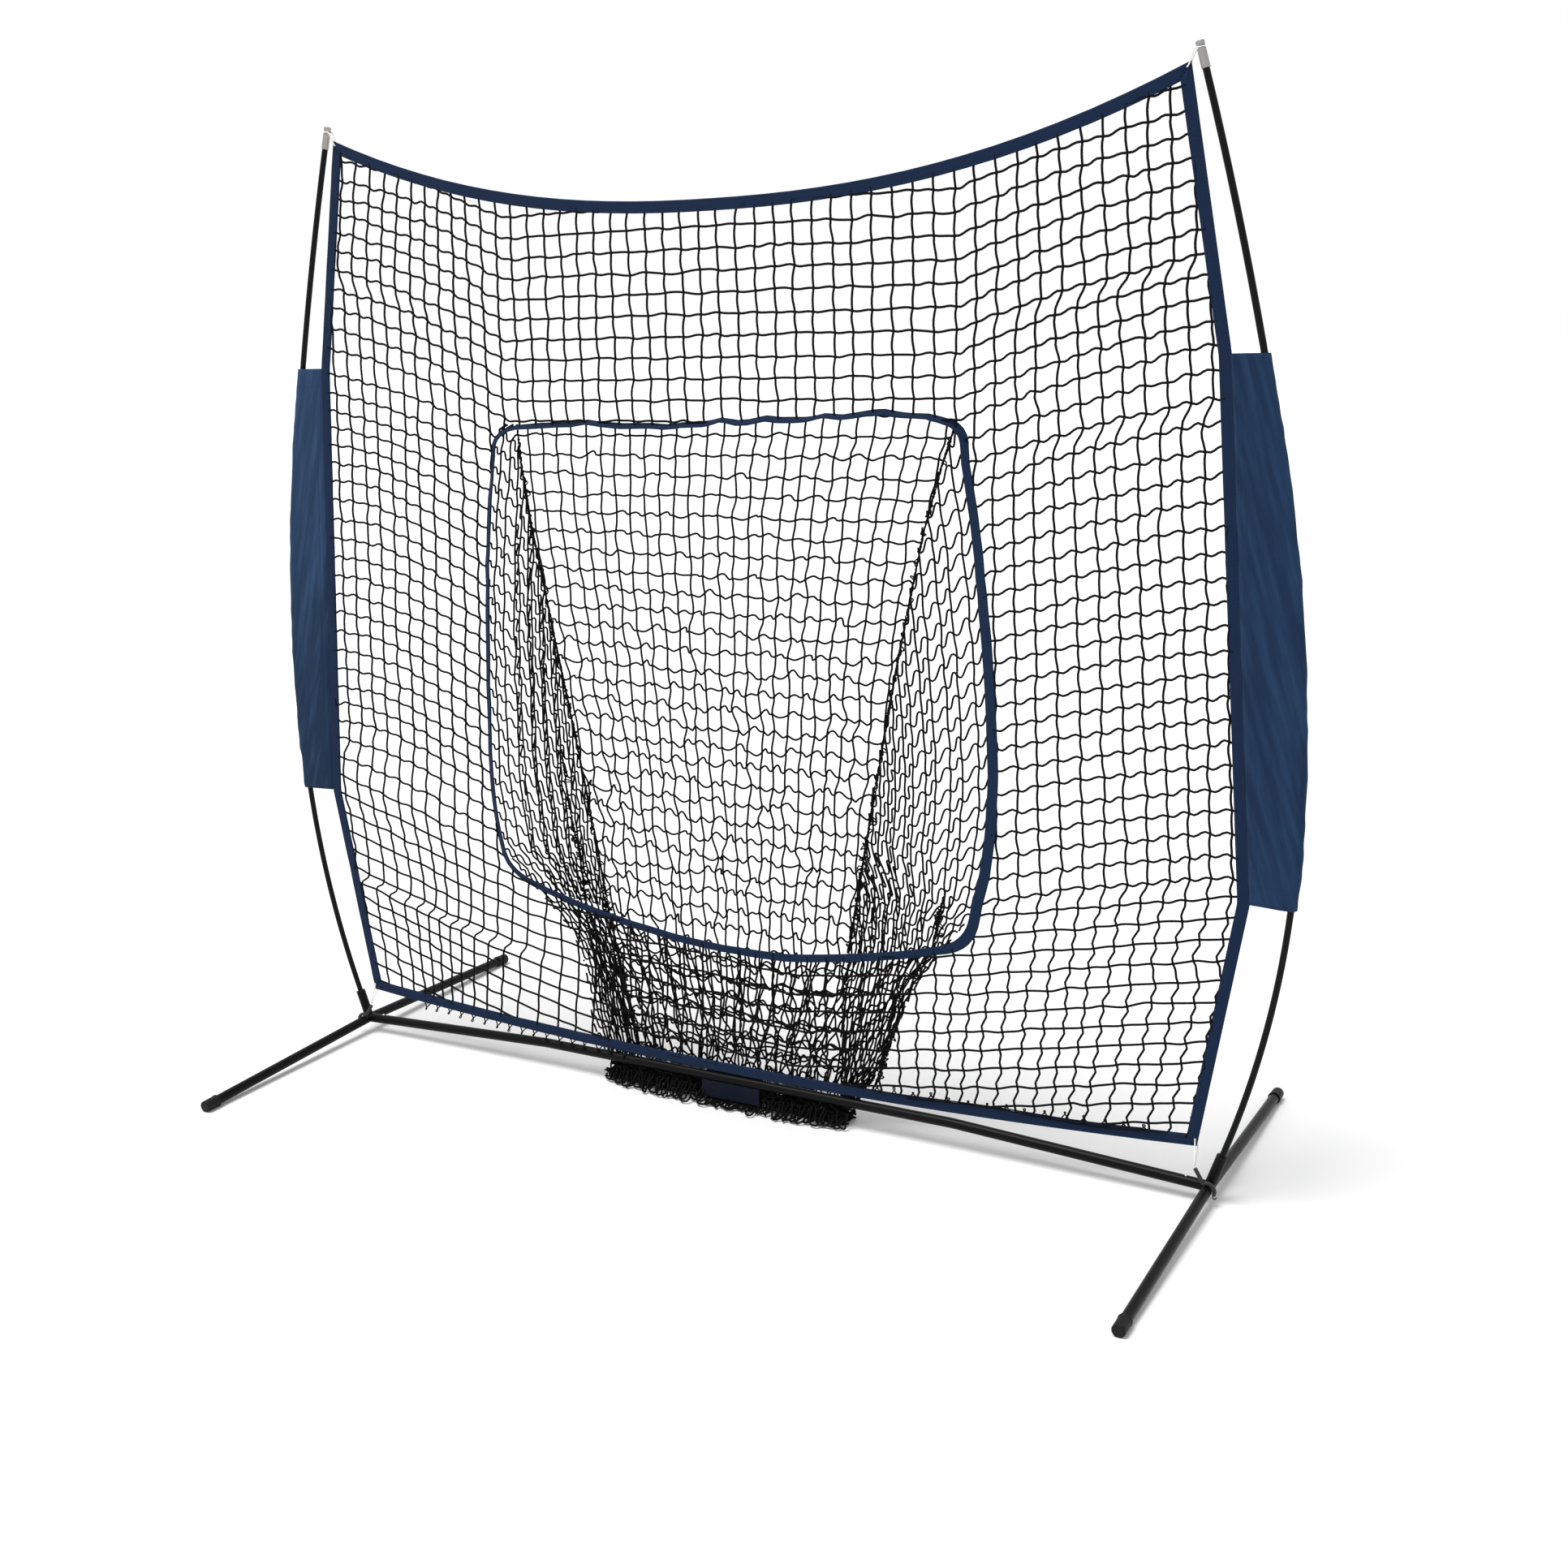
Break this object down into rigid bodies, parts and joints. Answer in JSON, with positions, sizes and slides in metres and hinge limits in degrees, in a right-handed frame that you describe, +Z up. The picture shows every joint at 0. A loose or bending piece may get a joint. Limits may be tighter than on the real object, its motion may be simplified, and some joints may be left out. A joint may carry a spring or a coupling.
{
  "type": "pitching target net",
  "caption": "Free-standing bow-framed ball net with a framed opening, a hanging catch pocket behind it, side sleeves on two bent poles and a crossbar base on two legs.",
  "frame": {"origin": "on the ground, under the middle of the crossbar", "axes": "+X along the crossbar to the right as seen from the thrower, +Y to the back, where the pocket hangs, and +Z up"},
  "size_m": [2.4346, 1.1148, 2.1438],
  "materials": {
    "black_steel": "satin powder coat",
    "black_plastic": "matt moulded",
    "button_steel": "bright zinc",
    "spring_steel": "bare",
    "fibreglass": "satin black pultruded rod",
    "coupler_metal": "black",
    "tip_metal": "satin",
    "netting": "knotted polyester cord",
    "navy_webbing": "woven webbing",
    "navy_cloth": "woven polyester",
    "white_elastic": "braided elastic",
    "black_strap": "matt",
    "hook_wire": "dark wire"
  },
  "bodies": {
    "frame": {"leg_left": "black_steel", "leg_right": "black_steel", "crossbar_stub_left": "black_steel", "crossbar_stub_right": "black_steel", "pole_socket_left": "black_steel", "pole_socket_right": "black_steel", "crossbar_left": "black_steel", "crossbar_right": "black_steel", "socket_bush_left": "black_plastic", "socket_bush_right": "black_plastic", "end_cap_front_left": "black_plastic", "end_cap_back_left": "black_plastic", "end_cap_front_right": "black_plastic", "end_cap_back_right": "black_plastic", "button_spring_left": "spring_steel", "button_spring_right": "spring_steel", "button_spring_middle": "spring_steel", "pole_lower_left": "fibreglass", "pole_lower_right": "fibreglass", "pole_middle_left": "fibreglass", "pole_middle_right": "fibreglass", "pole_upper_left": "fibreglass", "pole_upper_right": "fibreglass", "pole_couplers_left": "coupler_metal", "pole_couplers_right": "coupler_metal", "pole_tip_left": "tip_metal", "pole_tip_right": "tip_metal", "net_top": "netting", "net_bottom": "netting", "net_left": "netting", "net_right": "netting", "pocket_back": "netting", "pocket_front": "netting", "pocket_side_left": "netting", "pocket_side_right": "netting", "pocket_foot_bundle": "netting", "seam_lacing_left": "netting", "seam_lacing_right": "netting", "band_top": "navy_webbing", "band_bottom": "navy_webbing", "band_left": "navy_webbing", "band_right": "navy_webbing", "opening_binding": "navy_webbing", "flap_wrap": "navy_webbing", "sleeve_left": "navy_cloth", "sleeve_right": "navy_cloth", "corner_loop_top_left": "white_elastic", "corner_loop_top_right": "white_elastic", "corner_loop_bottom_left": "white_elastic", "corner_loop_bottom_right": "white_elastic", "hook_strap_left": "black_strap", "hook_strap_right": "black_strap", "wire_hook_left": "hook_wire", "wire_hook_right": "hook_wire"},
    "left_button": {"snap_button_left": "button_steel"},
    "right_button": {"snap_button_right": "button_steel"},
    "middle_button": {"snap_button_middle": "button_steel"},
    "flap": {"closing_flap": "navy_webbing"}
  },
  "joints": [
    {"name": "left_button_press", "type": "slide", "parent": "frame", "child": "left_button", "axis": [0.0475, 0, -0.9989], "range_m": [0, 0.0046], "stiffness_N_per_m": 3000, "springref_m": -0.002, "deforming": ["button_spring_left"]},
    {"name": "right_button_press", "type": "slide", "parent": "frame", "child": "right_button", "axis": [-0.0475, 0, -0.9989], "range_m": [0, 0.0046], "stiffness_N_per_m": 3000, "springref_m": -0.002, "deforming": ["button_spring_right"]},
    {"name": "middle_button_press", "type": "slide", "parent": "frame", "child": "middle_button", "axis": [0, 0, 1], "range_m": [0, 0.0046], "stiffness_N_per_m": 3000, "springref_m": -0.002, "deforming": ["button_spring_middle"]},
    {"name": "closing_flap_fold", "type": "hinge", "parent": "frame", "child": "flap", "pos_m": [-0.012, -0.0101, 0.05015], "axis": [-1, 0, 0], "range_deg": [0, 160]}
  ]
}
